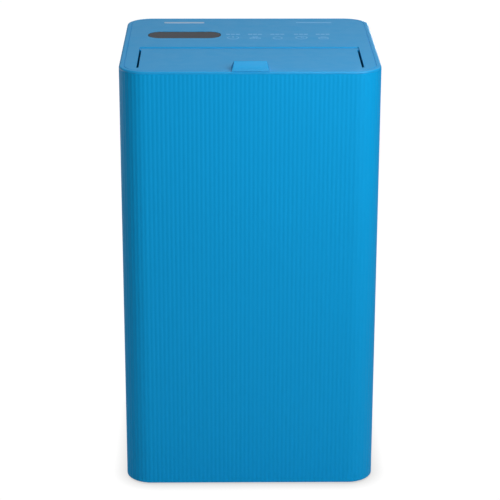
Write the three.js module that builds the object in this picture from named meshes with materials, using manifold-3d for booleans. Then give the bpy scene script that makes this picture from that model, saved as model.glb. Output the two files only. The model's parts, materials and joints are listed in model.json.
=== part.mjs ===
// Portable compressor dehumidifier with a ribbed shell and a flap over its air outlet.
// Millimetres, +Z up, front towards -Y, standing on z = 0, centred on x = 0, y = 0.

import * as THREE from 'three';
import { mergeVertices } from 'three/addons/utils/BufferGeometryUtils.js';
import Module from 'manifold-3d';

const wasm = await Module();
wasm.setup();

// ---------------------------------------------------------------- driving dimensions

const GAP = 0.3;                 // clearance between touching pieces

const WIDTH = 300;               // casing, side to side
const DEPTH = 272;               // casing, front to back
const CORNER = 31;               // plan radius of the casing's corners
const BOTTOM = 2;                // lower edge of the shells above the floor
const TOP = 516;                 // control panel plane
const SEAM = 513;                // joint between the shells and the top cover
const WALL = 3.2;                // shell thickness over the ribs
const SPLIT = 85;                // joint between the front shell and the rear cover, in y
const FRONT = -DEPTH / 2;
const BACK = DEPTH / 2;
const SIDE = WIDTH / 2;

const RIB_PITCH = 5;
const RIB_DEPTH = 0.5;

const RIM_ROUND = 2.2;           // rounding along the top cover's edge
const COVER = 3;                 // top cover plate thickness
const SKIRT_DROP = 18;           // the cover's skirt reaches this far below the panel

const FLAP_HALF = 127.3;         // outlet flap, half its width
const FLAP_SLIT = 2.4;           // slit at each end of the flap
const FLAP_FRONT = FRONT + 20;
const FLAP_STEP = 1;             // the flap lies this far below the panel
const FLAP_THICK = 3;
const FLAP_Z = TOP - FLAP_STEP;
const HINGE_Y = -20.9;
const HINGE_R = 3;               // barrel along the flap's rear edge
const HINGE_Z = FLAP_Z - HINGE_R;
const LIP_HALF = 20.9;           // pull lip, half its width at the foot
const LIP_FACE = 4.4;            // height of its upright face above the panel
const LIP_RISE = 9.9;            // height of its crest above the panel
const LIP_SLOPE = 11.3;          // run of its front slope, from the face to the crest
const LIP_TAPER = 2.3;           // each end of the lip leans in by this much
const PIN_R = 1.2;

const GRIP_Z = 422;              // side grips
const GRIP_HALF = 49.5;
const GRIP_HEIGHT = 36;
const GRIP_DEPTH = 21.6;         // how far a grip reaches into the casing
const CUP_WALL = 2.4;

const DECK_Z = 186;              // underside of the deck above the tank
const DECK = 4;
const BASE_Z = 4;                // base pan
const BASE = 3;

const TANK_HALF = 113;           // water tank
const TANK_FRONT = 26;
const TANK_FLOOR = 15;
const TANK_TOP = 165;
const TANK_WALL = 2.2;
const DOOR_HALF = 115.6;         // the tank's outer face in the rear cover
const DOOR_LOW = 12.4;
const DOOR_HIGH = 181.6;

const INLET_HALF = 104.6;        // removable inlet grille
const INLET_LOW = 222.4;
const INLET_HIGH = 445.6;

const COIL_HALF = 98;            // fin packs of the two coils
const COIL_LOW = 206;
const COIL_HIGH = 438;

const FAN_Z = 330;               // fan axis, along y
const FAN_R = 82;
const FAN_HUB_R = 9;
const SCROLL_FRONT = -100;
const SCROLL_BACK = -38;
const SCROLL_TOP = 440;
const SCROLL_SIDE = 118;
const MOTOR_R = 42;
const SHAFT_R = 3;

const COMPRESSOR = new THREE.Vector3(-66, -54, 0);
const COMPRESSOR_R = 50;
const COMPRESSOR_FOOT_R = 60;

const TANK_BACK = BACK - 3.5;    // outside of the tank's rear wall
const INLET_FRONT = BACK - 6.9;  // inlet grille and the filter in front of it
const FILTER = [BACK - 10.9, BACK - 8.1];

const PORT_Z = 202;              // drain outlet and cord gland in the rear cover
const PORT_X = 90;
const PORT_HOLE = 11;
const GLAND_HOLE = 7.5;
const SCREW_X = 104;
const SCREW_Z = 484;

// ---------------------------------------------------------------- materials

function finish(color, roughness, metalness = 0) {
  return new THREE.MeshStandardMaterial({ color, roughness, metalness });
}

const BLUE = finish(0x0b84c4, 0.5);
const BLUE_COVER = finish(0x2583bd, 0.55);
const DARK = finish(0x2b2e33, 0.35);
const GREY = finish(0xb9bec3, 0.6);
const CLEAR = finish(0xc9dbe4, 0.15);
const WHITE = finish(0xe4e6e6, 0.6);
const BLACK = finish(0x1a1b1d, 0.6);
const RUBBER = finish(0x161616, 0.85);
const STEEL = finish(0xa8acb0, 0.35, 1);
const ZINC = finish(0xc2c4c4, 0.4, 1);
const FINS = finish(0xcfd3d6, 0.35, 1);
const COPPER = finish(0xb8693f, 0.3, 1);
const BLACK_PAINT = finish(0x202225, 0.45);
const BOARD = finish(0x1f6b3a, 0.5);

// ---------------------------------------------------------------- shape helpers

// A closed geometry as a solid whose shared vertices are merged.
function solid(geometry) {
  const bare = geometry.clone();
  bare.deleteAttribute('normal');
  bare.deleteAttribute('uv');
  const merged = mergeVertices(bare, 1e-4);
  return new wasm.Manifold(new wasm.Mesh({
    numProp: 3,
    vertProperties: new Float32Array(merged.attributes.position.array),
    triVerts: new Uint32Array(merged.index.array),
  }));
}

function join(...bodies) {
  return bodies.reduce((sum, body) => sum.add(body));
}

function cut(body, ...tools) {
  return tools.reduce((rest, tool) => rest.subtract(tool), body);
}

function range(count) {
  return Array.from({ length: count }, (_, index) => index);
}

// Box from its limits along each axis.
function box([x0, x1], [y0, y1], [z0, z1]) {
  const geometry = new THREE.BoxGeometry(x1 - x0, y1 - y0, z1 - z0);
  geometry.translate((x0 + x1) / 2, (y0 + y1) / 2, (z0 + z1) / 2);
  return solid(geometry);
}

// Box of a given size, turned about x and then placed.
function tiltedBox([sx, sy, sz], tilt, [x, y, z]) {
  const geometry = new THREE.BoxGeometry(sx, sy, sz);
  geometry.rotateX(tilt);
  geometry.translate(x, y, z);
  return solid(geometry);
}

// Upright cylinder between two heights.
function post(radius, [x, y], [z0, z1], sides = 16) {
  const geometry = new THREE.CylinderGeometry(radius, radius, z1 - z0, sides);
  geometry.rotateX(Math.PI / 2);
  geometry.translate(x, y, (z0 + z1) / 2);
  return solid(geometry);
}

// Cylinder along y.
function rod(radius, [x, z], [y0, y1], sides = 20) {
  const geometry = new THREE.CylinderGeometry(radius, radius, y1 - y0, sides);
  geometry.translate(x, (y0 + y1) / 2, z);
  return solid(geometry);
}

// Cylinder along x.
function bar(radius, [y, z], [x0, x1], sides = 16) {
  const geometry = new THREE.CylinderGeometry(radius, radius, x1 - x0, sides);
  geometry.rotateZ(Math.PI / 2);
  geometry.translate((x0 + x1) / 2, y, z);
  return solid(geometry);
}

function polygon(points) {
  return new THREE.Shape(points.map(([a, b]) => new THREE.Vector2(a, b)));
}

// Each arc of the shape is divided into twice as many edges as `arcs` says.
function extrude(shape, length, arcs) {
  return new THREE.ExtrudeGeometry(shape, { depth: length, bevelEnabled: false, curveSegments: arcs });
}

// Plan shape (x, y) raised between two heights.
function raise(shape, [z0, z1], arcs = 3) {
  const geometry = extrude(shape, z1 - z0, arcs);
  geometry.translate(0, 0, z0);
  return solid(geometry);
}

// Front-view shape (x, z) given a thickness along y.
function thicken(shape, [y0, y1], arcs = 2) {
  const geometry = extrude(shape, y1 - y0, arcs);
  geometry.rotateX(Math.PI / 2);
  geometry.translate(0, y1, 0);
  return solid(geometry);
}

// Side-view shape (y, z) given a width along x.
function widen(shape, [x0, x1], arcs = 4) {
  const geometry = extrude(shape, x1 - x0, arcs);
  const turn = new THREE.Matrix4().makeBasis(
    new THREE.Vector3(0, 1, 0),
    new THREE.Vector3(0, 0, 1),
    new THREE.Vector3(1, 0, 0),
  );
  geometry.applyMatrix4(turn);
  geometry.translate(x0, 0, 0);
  return solid(geometry);
}

// Rectangle with rounded corners, from its limits along each axis.
function roundedRect([a0, a1], [b0, b1], radius) {
  const shape = new THREE.Shape();
  shape.absarc(a1 - radius, b1 - radius, radius, 0, Math.PI / 2);
  shape.absarc(a0 + radius, b1 - radius, radius, Math.PI / 2, Math.PI);
  shape.absarc(a0 + radius, b0 + radius, radius, Math.PI, Math.PI * 1.5);
  shape.absarc(a1 - radius, b0 + radius, radius, Math.PI * 1.5, Math.PI * 2);
  return shape;
}

// The casing's plan outline, moved inwards.
function casing(inset) {
  return roundedRect([-SIDE + inset, SIDE - inset], [FRONT + inset, BACK - inset], CORNER - inset);
}

// A polyline as a curve, one step per point.
class Route extends THREE.Curve {
  constructor(points) {
    super();
    this.points = points;
  }

  getUtoTmapping(u) {
    return u;
  }

  getPoint(t, target = new THREE.Vector3()) {
    const place = THREE.MathUtils.clamp(t, 0, 1) * (this.points.length - 1);
    const index = Math.min(Math.floor(place), this.points.length - 2);
    return target.lerpVectors(this.points[index], this.points[index + 1], place - index);
  }
}

// Corner points replaced by bends of the given size.
function bent(corners, bend, steps = 4) {
  const points = corners.map(([x, y, z]) => new THREE.Vector3(x, y, z));
  const route = [points[0]];
  for (let i = 1; i < points.length - 1; i += 1) {
    const before = points[i - 1].clone().sub(points[i]).setLength(bend).add(points[i]);
    const after = points[i + 1].clone().sub(points[i]).setLength(bend).add(points[i]);
    route.push(...new THREE.QuadraticBezierCurve3(before, points[i], after).getPoints(steps));
  }
  route.push(points[points.length - 1]);
  return route;
}

// Round bar swept along points.
function sweep(points, radius, sides = 8) {
  const section = new THREE.Shape();
  section.absarc(0, 0, radius, 0, Math.PI * 2);
  return solid(new THREE.ExtrudeGeometry(section, {
    steps: points.length - 1,
    extrudePath: new Route(points),
    curveSegments: sides / 2,
    bevelEnabled: false,
  }));
}

function pipe(corners, radius, bend) {
  return sweep(bent(corners, bend), radius);
}

// ---------------------------------------------------------------- assembly

const dehumidifier = new THREE.Group();

function add(name, body, material, parent = dehumidifier) {
  const { vertProperties, triVerts, numProp } = body.getMesh();
  const geometry = new THREE.BufferGeometry();
  const corners = new THREE.InterleavedBuffer(vertProperties, numProp);
  geometry.setAttribute('position', new THREE.InterleavedBufferAttribute(corners, 3, 0));
  geometry.setIndex(new THREE.BufferAttribute(triVerts, 1));
  const flat = geometry.toNonIndexed();
  flat.computeVertexNormals();
  const mesh = new THREE.Mesh(flat, material);
  mesh.name = name;
  parent.add(mesh);
  return mesh;
}

// ---------------------------------------------------------------- front shell

// Point on the casing's outline at a distance from the middle of the front, moved inwards.
function outlinePoint(distance, inset) {
  const flat = SIDE - CORNER;
  const arc = CORNER * Math.PI / 2;
  const s = Math.abs(distance);
  const hand = Math.sign(distance);
  if (s <= flat) {
    return [distance, FRONT + inset];
  }
  if (s <= flat + arc) {
    const angle = (s - flat) / CORNER;
    const radius = CORNER - inset;
    return [hand * (flat + radius * Math.sin(angle)), FRONT + CORNER - radius * Math.cos(angle)];
  }
  return [hand * (SIDE - inset), FRONT + CORNER + s - flat - arc];
}

// Ribs run up the front, the front corners and the sides.
function ribbedOutline() {
  const reach = SIDE - CORNER + CORNER * Math.PI / 2 + SPLIT - FRONT - CORNER;
  const half = 2 * Math.floor(reach / RIB_PITCH);
  const ribs = range(2 * half + 1).map((step) => {
    const place = step - half;
    return outlinePoint(place * RIB_PITCH / 2, place % 2 === 0 ? 0 : RIB_DEPTH);
  });
  return polygon([outlinePoint(-reach, 0), ...ribs, outlinePoint(reach, 0)]);
}

const GRIP_SPAN = [GRIP_Z - GRIP_HEIGHT / 2, GRIP_Z + GRIP_HEIGHT / 2];

const frontShell = cut(
  raise(ribbedOutline(), [BOTTOM, SEAM]),
  raise(casing(WALL), [BOTTOM - 1, SEAM + 1]),
  box([-SIDE - 1, SIDE + 1], [-GRIP_HALF, GRIP_HALF], GRIP_SPAN),
);
add('front_shell', frontShell, BLUE);

// ---------------------------------------------------------------- rear cover

const SCREW_HEAD_R = 3.6;
const SCREW_SHANK_R = 1.7;
const BOSS_FRONT = BACK - 15.5;
const SCREW_PLACES = [[-SCREW_X, SCREW_Z], [SCREW_X, SCREW_Z]];

const rearWalls = cut(
  raise(casing(0), [BOTTOM, SEAM]),
  raise(casing(WALL), [BOTTOM - 1, SEAM + 1]),
  box([-SIDE - 1, SIDE + 1], [FRONT - 1, SPLIT + GAP], [BOTTOM - 1, SEAM + 1]),
);
const bosses = SCREW_PLACES.map((place) => rod(6, place, [BOSS_FRONT, BACK - WALL + 0.5], 16));
const rearCover = cut(
  join(rearWalls, ...bosses),
  box([-INLET_HALF - GAP, INLET_HALF + GAP], [SPLIT, BACK + 1], [INLET_LOW - GAP, INLET_HIGH + GAP]),
  box([-DOOR_HALF - GAP, DOOR_HALF + GAP], [SPLIT, BACK + 1], [DOOR_LOW - GAP, DOOR_HIGH + GAP]),
  rod(PORT_HOLE, [PORT_X, PORT_Z], [SPLIT + 20, BACK + 1]),
  rod(GLAND_HOLE, [-PORT_X, PORT_Z], [SPLIT + 20, BACK + 1]),
  ...SCREW_PLACES.map((place) => rod(SCREW_SHANK_R + GAP, place, [BOSS_FRONT - 1, BACK + 1], 12)),
  ...SCREW_PLACES.map((place) => rod(SCREW_HEAD_R + GAP, place, [BACK - 2.6, BACK + 1], 16)),
);
add('rear_cover', rearCover, BLUE);

SCREW_PLACES.forEach((place, index) => {
  const head = rod(SCREW_HEAD_R, place, [BACK - 2.2, BACK - 0.2], 16);
  const shank = rod(SCREW_SHANK_R, place, [BOSS_FRONT + 2, BACK - 2], 12);
  const slot = join(
    box([place[0] - 2, place[0] + 2], [BACK - 1.2, BACK], [place[1] - 0.4, place[1] + 0.4]),
    box([place[0] - 0.4, place[0] + 0.4], [BACK - 1.2, BACK], [place[1] - 2, place[1] + 2]),
  );
  add(`cover_screw_${index + 1}`, cut(join(head, shank), slot), ZINC);
});

// ---------------------------------------------------------------- top cover

const OPENING_HALF = FLAP_HALF + FLAP_SLIT;
const OPENING_BACK = HINGE_Y + HINGE_R + 0.4;
const OPENING_FRONT = FLAP_FRONT - 0.4;
const SKIRT_Z = TOP - SKIRT_DROP;
const SKIRT_INSET = WALL + GAP;
const WINDOW = { x: [-122, -34], y: [27.8, 62.6], radius: 12 };
const BADGE = { x: [-104.5, -54.5], y: [107, 114], radius: 2 };
const PLATE_LOW = SEAM + GAP;
const FLAP_LOW = FLAP_Z - FLAP_THICK;

function filletedPlate() {
  const inset = casing(RIM_ROUND);
  const geometry = new THREE.ExtrudeGeometry(inset, {
    depth: 2 * RIM_ROUND,
    bevelThickness: RIM_ROUND,
    bevelSize: RIM_ROUND,
    bevelSegments: 3,
    curveSegments: 3,
  });
  geometry.translate(0, 0, TOP - 3 * RIM_ROUND);
  return cut(solid(geometry), box([-SIDE - 9, SIDE + 9], [FRONT - 9, BACK + 9], [TOP - 40, PLATE_LOW]));
}

// A rounded rectangle grown on every side.
function grown({ x, y, radius }, by) {
  return roundedRect([x[0] - by, x[1] + by], [y[0] - by, y[1] + by], radius + by);
}

const coverSkirt = cut(
  raise(casing(SKIRT_INSET), [SKIRT_Z, TOP - 1]),
  raise(casing(SKIRT_INSET + 2.4), [SKIRT_Z - 1, TOP]),
);
const flapRest = join(
  box([-OPENING_HALF, OPENING_HALF], [OPENING_FRONT - 3, OPENING_FRONT], [SKIRT_Z + 6, TOP - 1]),
  box([-OPENING_HALF, OPENING_HALF], [OPENING_FRONT - 3, OPENING_FRONT + 3], [SKIRT_Z + 6, FLAP_LOW - GAP]),
);
const hingeBeam = box([-SIDE + 8, SIDE - 8], [OPENING_BACK, OPENING_BACK + 3], [SKIRT_Z + 6, TOP - 1]);
const hingeEnds = [-1, 1].map((hand) => {
  const ends = [hand * OPENING_HALF, hand * (OPENING_HALF + 4)].sort((a, b) => a - b);
  return box(ends, [HINGE_Y - 8, OPENING_BACK + 3], [SKIRT_Z + 4, TOP - 1]);
});
const flapOpening = box(
  [-OPENING_HALF, OPENING_HALF], [OPENING_FRONT, OPENING_BACK], [FLAP_LOW - GAP, TOP + 1]);
const topCover = cut(
  join(filletedPlate(), coverSkirt, flapRest, hingeBeam, ...hingeEnds),
  flapOpening,
  bar(PIN_R + GAP, [HINGE_Y, HINGE_Z], [-OPENING_HALF - 5, OPENING_HALF + 5]),
  raise(grown(WINDOW, GAP), [TOP - 2, TOP + 1], 1),
  raise(grown(WINDOW, -3), [TOP - 5, TOP], 1),
  raise(grown(BADGE, GAP), [TOP - 1, TOP + 1], 1),
);
add('top_cover', topCover, BLUE_COVER);
add('display_window', raise(grown(WINDOW, 0), [TOP - 1.7, TOP - 0.2], 1), DARK);
add('blank_badge', raise(grown(BADGE, 0), [TOP - 0.7, TOP + 0.2], 1), WHITE);

// ---------------------------------------------------------------- outlet flap and grille

// Side view of the flap: plate with the hinge barrel at its rear edge.
function flapSection() {
  const shape = new THREE.Shape();
  shape.moveTo(FLAP_FRONT, FLAP_Z);
  shape.lineTo(FLAP_FRONT, FLAP_LOW);
  shape.lineTo(HINGE_Y - HINGE_R, FLAP_LOW);
  shape.absarc(HINGE_Y, HINGE_Z, HINGE_R, Math.PI, Math.PI * 2.5, false);
  return shape;
}

// Pull lip: stands on the flap's front edge and reaches forward over the rim, flush with the casing.
function pullLip() {
  const face = FRONT + 0.4;
  const foot = TOP + GAP;
  const crest = TOP + LIP_RISE;
  const section = polygon([
    [face + 1, foot], [FLAP_FRONT, foot], [FLAP_FRONT, FLAP_Z - 1], [FLAP_FRONT + 12, FLAP_Z - 1],
    [FLAP_FRONT + 10, FLAP_Z + 1], [face + LIP_SLOPE + 1.5, crest], [face + LIP_SLOPE - 0.5, crest],
    [face + 0.4, TOP + LIP_FACE + 0.3], [face, TOP + LIP_FACE - 0.3], [face, foot + 1],
  ]);
  const ends = polygon([
    [-LIP_HALF, FLAP_Z - 2], [LIP_HALF, FLAP_Z - 2], [LIP_HALF, TOP + LIP_FACE / 2],
    [LIP_HALF - LIP_TAPER, crest + 0.1], [-LIP_HALF + LIP_TAPER, crest + 0.1],
    [-LIP_HALF, TOP + LIP_FACE / 2],
  ]);
  const length = widen(section, [-LIP_HALF - 1, LIP_HALF + 1]);
  return length.intersect(thicken(ends, [FRONT - 1, FLAP_FRONT + 20]));
}

const flapEnds = [-1, 1].map((hand) => {
  const ends = [hand * (FLAP_HALF - 2), hand * FLAP_HALF].sort((a, b) => a - b);
  return box(ends, [FLAP_FRONT + 8, HINGE_Y], [FLAP_Z - 7, FLAP_Z - 1]);
});
const hingeKnuckles = [-1, 1].map((hand) => {
  const ends = [hand * (FLAP_HALF - 1), hand * (OPENING_HALF - 0.4)].sort((a, b) => a - b);
  return join(
    bar(HINGE_R, [HINGE_Y, HINGE_Z], ends),
    box(ends, [HINGE_Y - 7, HINGE_Y], [FLAP_LOW, FLAP_Z]),
  );
});
const flapPinEnds = [
  [-OPENING_HALF - 3.6, -FLAP_HALF + 12],
  [FLAP_HALF - 12, OPENING_HALF + 3.6],
];
const outletFlap = cut(
  join(widen(flapSection(), [-FLAP_HALF, FLAP_HALF]), pullLip(), ...flapEnds, ...hingeKnuckles),
  ...flapPinEnds.map(([x0, x1]) => bar(PIN_R + GAP, [HINGE_Y, HINGE_Z], [x0 - 2, x1 + 2], 12)),
);
add('outlet_flap', outletFlap, BLUE_COVER);
flapPinEnds.forEach((ends, index) => {
  add(['flap_pin_left', 'flap_pin_right'][index], bar(PIN_R, [HINGE_Y, HINGE_Z], ends, 12), STEEL);
});

const GRILLE_LOW = TOP - 26;
const GRILLE_HIGH = TOP - 19;
const GRILLE = { x: [-124, 124], y: [FLAP_FRONT + 4, HINGE_Y - 6] };
const SLATS = 9;

function shrunk({ x, y }, by) {
  return { x: [x[0] + by, x[1] - by], y: [y[0] + by, y[1] - by] };
}

const grilleInside = shrunk(GRILLE, 3);
const grilleFrame = cut(
  box(GRILLE.x, GRILLE.y, [GRILLE_LOW, GRILLE_HIGH]),
  box(grilleInside.x, grilleInside.y, [GRILLE_LOW - 1, GRILLE_HIGH + 1]),
);
const slatPitch = (GRILLE.y[1] - GRILLE.y[0]) / (SLATS + 1);
const outletSlats = range(SLATS).map((index) => {
  const y = GRILLE.y[0] + slatPitch * (index + 1);
  return tiltedBox([GRILLE.x[1] - GRILLE.x[0] - 4, 1.6, 6.4], 0.35, [0, y, (GRILLE_LOW + GRILLE_HIGH) / 2]);
});
const outletRibs = [-42, 42].map((x) => {
  return box([x - 1, x + 1], [GRILLE.y[0] + 2, GRILLE.y[1] - 2], [GRILLE_LOW + 1, GRILLE_HIGH - 1]);
});
add('outlet_grille', join(grilleFrame, ...outletSlats, ...outletRibs), BLACK);

// ---------------------------------------------------------------- control board under the panel

const BOARD_Z = TOP - 17;
const PAD_X = [-19, 7.8, 35, 63.7, 90.3];
const KEY_Y = 38.6;

const boardPlate = box([-127, 106], [4, 70], [BOARD_Z, BOARD_Z + 1.6]);
const displayModule = box(
  [WINDOW.x[0] + 5, WINDOW.x[1] - 5], [WINDOW.y[0] + 4, WINDOW.y[1] - 4], [BOARD_Z + 1, TOP - COVER - 1]);
const chips = [[-60, 16], [0, 60], [60, 60]].map(([x, y]) => {
  return box([x - 6, x + 6], [y - 4, y + 4], [BOARD_Z - 2, BOARD_Z + 0.5]);
});
add('control_board', join(boardPlate, displayModule, ...chips), BOARD);
PAD_X.forEach((x, index) => {
  add(`touch_pad_${index + 1}`, post(7, [x, KEY_Y], [BOARD_Z + 1.6 + GAP, TOP - COVER - GAP], 16), BLACK);
});

// ---------------------------------------------------------------- side grips

[-1, 1].forEach((hand) => {
  const cup = cut(
    box([SIDE - GRIP_DEPTH - CUP_WALL, SIDE - WALL - GAP],
      [-GRIP_HALF - 3, GRIP_HALF + 3], [GRIP_SPAN[0] - 3, GRIP_SPAN[1] + 3]),
    box([SIDE - GRIP_DEPTH, SIDE], [-GRIP_HALF, GRIP_HALF], GRIP_SPAN),
  );
  const mesh = add(hand < 0 ? 'grip_cup_left' : 'grip_cup_right', cup, BLACK);
  mesh.rotation.z = hand < 0 ? Math.PI : 0;
});

// ---------------------------------------------------------------- base pan and feet

const FOOT_PLACES = {
  front_left: [-112, -90],
  front_right: [112, -90],
  back_left: [-112, 90],
  back_right: [112, 90],
};
const COMPRESSOR_FEET = [90, 210, 330].map((degrees) => {
  const angle = THREE.MathUtils.degToRad(degrees);
  return [
    COMPRESSOR.x + COMPRESSOR_FOOT_R * Math.cos(angle),
    COMPRESSOR.y + COMPRESSOR_FOOT_R * Math.sin(angle),
  ];
});
const BASE_INSET = WALL + 0.4;

const basePlate = join(
  raise(casing(BASE_INSET), [BASE_Z, BASE_Z + BASE]),
  cut(raise(casing(BASE_INSET), [BASE_Z, 11]), raise(casing(BASE_INSET + 2), [BASE_Z, 12])),
);
const studs = COMPRESSOR_FEET.map((place) => post(2.6, place, [BASE_Z + 1, 30], 12));
const runners = [-80, 0, 80].map((x) => {
  return box([x - 4, x + 4], [24, TANK_BACK - 6], [BASE_Z + 1, TANK_FLOOR - GAP]);
});
add('base_pan', join(basePlate, ...studs, ...runners), BLACK);
Object.entries(FOOT_PLACES).forEach(([corner, place]) => {
  const foot = add(`foot_${corner}`, post(13, [0, 0], [0, BASE_Z - GAP], 24), RUBBER);
  foot.position.set(place[0], place[1], 0);
});

// ---------------------------------------------------------------- tank bay and deck

const BAY_FRONT = 17;
const tankBay = cut(
  box([-119.6, 119.6], [BAY_FRONT, BACK - WALL - 0.4], [BASE_Z + BASE + GAP + 4, DECK_Z - GAP]),
  box([-117, 117], [BAY_FRONT + 2.4, BACK], [BASE_Z, DECK_Z + 1]),
);
add('tank_bay', tankBay, GREY);

const DRIP = [70, 74];
const DISCHARGE_X = -118;
const RIGHT_PIPE_X = 118;
const PIPE_R = 4;
const RISER_Y = -10;

const deck = cut(
  raise(casing(BASE_INSET), [DECK_Z, DECK_Z + DECK]),
  post(7.5, DRIP, [DECK_Z - 1, DECK_Z + DECK + 1]),
  post(PIPE_R + 3, [DISCHARGE_X, RISER_Y], [DECK_Z - 1, DECK_Z + DECK + 1], 12),
  post(PIPE_R + 3, [RIGHT_PIPE_X, RISER_Y], [DECK_Z - 1, DECK_Z + DECK + 1], 12),
  box([30, 60], [-24, -8], [DECK_Z - 1, DECK_Z + DECK + 1]),
);
add('deck', deck, GREY);

// ---------------------------------------------------------------- drip tray, drain outlet, cord gland

const TRAY_Z = DECK_Z + DECK + GAP;
const TRAY = { x: [-116, 116], y: [34, 111] };
const TRAY_RIM = 204;
const SPOUT_R = 6;
const SPOUT_END = BACK - 6.5;

const trayBody = cut(
  box(TRAY.x, TRAY.y, [TRAY_Z, TRAY_RIM]),
  box([TRAY.x[0] + 2, TRAY.x[1] - 2], [TRAY.y[0] + 2, TRAY.y[1] - 2], [TRAY_Z + 2, TRAY_RIM + 1]),
);
const trayRails = [-COIL_HALF - 0.5, COIL_HALF + 0.5].map((x) => {
  return box([x - 1.5, x + 1.5], [TRAY.y[0] + 1, TRAY.y[1] - 1], [TRAY_Z + 5, COIL_LOW - GAP]);
});
const drainSpout = rod(SPOUT_R, [PORT_X, PORT_Z], [TRAY.y[1] - 1, SPOUT_END], 20);
const dripTray = cut(
  join(trayBody, ...trayRails, drainSpout, post(SPOUT_R, DRIP, [DECK_Z - 6, TRAY_Z + 1])),
  rod(SPOUT_R - 2, [PORT_X, PORT_Z], [TRAY.y[1] - 3, SPOUT_END + 1], 16),
  post(SPOUT_R - 2, DRIP, [DECK_Z - 7, TRAY_Z + 3], 16),
);
add('drip_tray', dripTray, WHITE);

const drainCap = cut(
  join(
    rod(8.4, [PORT_X, PORT_Z], [SPOUT_END - 7, SPOUT_END + 2.4]),
    rod(3, [PORT_X, PORT_Z], [SPOUT_END + 2, BACK - 0.5], 12),
  ),
  rod(SPOUT_R + GAP, [PORT_X, PORT_Z], [SPOUT_END - 8, SPOUT_END + GAP]),
);
add('drain_cap', drainCap, RUBBER);

const cordGland = cut(
  join(
    rod(7.1, [-PORT_X, PORT_Z], [BACK - 11.5, BACK - 0.2], 16),
    rod(10, [-PORT_X, PORT_Z], [BACK - WALL - 4, BACK - WALL - GAP], 16),
  ),
  rod(4, [-PORT_X, PORT_Z], [BACK - 12.5, BACK + 1], 12),
);
add('cord_gland', cordGland, BLACK);

// ---------------------------------------------------------------- water tank

const tank = new THREE.Group();
dehumidifier.add(tank);

const FLOAT_PIVOT = { y: 42, z: 138 };
const FLOAT_X = [-66, -34];
const GRIP_POCKET = { x: [-44, 44], z: [148, 176], front: BACK - 15.5 };
const POUR = { x: [60, 84], y: [60, 88] };

const tankWalls = cut(
  box([-TANK_HALF, TANK_HALF], [TANK_FRONT, TANK_BACK], [TANK_FLOOR, TANK_TOP]),
  box([-TANK_HALF + TANK_WALL, TANK_HALF - TANK_WALL], [TANK_FRONT + TANK_WALL, TANK_BACK - TANK_WALL],
    [TANK_FLOOR + TANK_WALL, TANK_TOP + 1]),
);
const tankDoor = thicken(
  roundedRect([-DOOR_HALF, DOOR_HALF], [DOOR_LOW, DOOR_HIGH], 2), [TANK_BACK - 0.4, BACK - 0.2], 1);
const pocketWalls = box([GRIP_POCKET.x[0] - 2, GRIP_POCKET.x[1] + 2], [GRIP_POCKET.front - 2, TANK_BACK],
  [GRIP_POCKET.z[0] - 2, GRIP_POCKET.z[1] + 2]);
const floatLugs = [FLOAT_X[0], FLOAT_X[1] - 3].map((x) => {
  return box([x, x + 3], [TANK_FRONT + 1, FLOAT_PIVOT.y + 5], [FLOAT_PIVOT.z - 8, FLOAT_PIVOT.z + 6]);
});
const waterTank = cut(
  join(tankWalls, tankDoor, pocketWalls, ...floatLugs),
  box(GRIP_POCKET.x, [GRIP_POCKET.front, BACK + 1], GRIP_POCKET.z),
  bar(1.9, [FLOAT_PIVOT.y, FLOAT_PIVOT.z], [FLOAT_X[0] - 1, FLOAT_X[1] + 1], 12),
);
add('water_tank', waterTank, CLEAR, tank);

const LID_BACK = GRIP_POCKET.front - 2 - 0.4;
const lidHalf = TANK_HALF - TANK_WALL - GAP;
const lidFront = TANK_FRONT + TANK_WALL + GAP;
const lidPlate = box(
  [-TANK_HALF + 0.4, TANK_HALF - 0.4], [TANK_FRONT + 0.4, LID_BACK], [TANK_TOP + GAP, TANK_TOP + 3]);
const lidLip = cut(
  box([-lidHalf, lidHalf], [lidFront, LID_BACK], [TANK_TOP - 5, TANK_TOP + 1]),
  box([-lidHalf + 2, lidHalf - 2], [lidFront + 2, LID_BACK - 2], [TANK_TOP - 6, TANK_TOP + GAP]),
);
const lidRibs = [-75, -25, 25].map((x) => {
  return box([x - 1, x + 1], [TANK_FRONT + 6, LID_BACK - 6], [TANK_TOP + 2, TANK_TOP + 5]);
});
const tankLid = cut(join(lidPlate, lidLip, ...lidRibs), box(POUR.x, POUR.y, [TANK_TOP - 2, TANK_TOP + 6]));
add('tank_lid', tankLid, WHITE, tank);

const floatHub = bar(5, [FLOAT_PIVOT.y, FLOAT_PIVOT.z], [FLOAT_X[0] + 3.6, FLOAT_X[1] - 3.6]);
const floatArm = box([-54, -46], [FLOAT_PIVOT.y, 66], [FLOAT_PIVOT.z - 2.5, FLOAT_PIVOT.z + 2.5]);
const floatBlock = thicken(
  roundedRect([-70, -30], [FLOAT_PIVOT.z - 16, FLOAT_PIVOT.z + 4], 5), [62, 96], 3);
const magnetSeat = post(6 + GAP, [-50, 80], [FLOAT_PIVOT.z + 1, FLOAT_PIVOT.z + 5], 16);
const tankFloat = cut(
  join(floatHub, floatArm, floatBlock),
  bar(1.9, [FLOAT_PIVOT.y, FLOAT_PIVOT.z], [FLOAT_X[0], FLOAT_X[1]], 12),
  magnetSeat,
);
add('tank_float', tankFloat, WHITE, tank);
const floatPin = bar(1.6, [FLOAT_PIVOT.y, FLOAT_PIVOT.z], [FLOAT_X[0] + 0.5, FLOAT_X[1] - 0.5], 12);
add('float_magnet', post(6, [-50, 80], [FLOAT_PIVOT.z + 1 + GAP, FLOAT_PIVOT.z + 4], 16), STEEL, tank);
add('float_pin', floatPin, STEEL, tank);
add('float_switch', box([-62, -38], [74, 86], [173, DECK_Z - GAP]), BLACK);

// ---------------------------------------------------------------- inlet grille and filter

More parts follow.
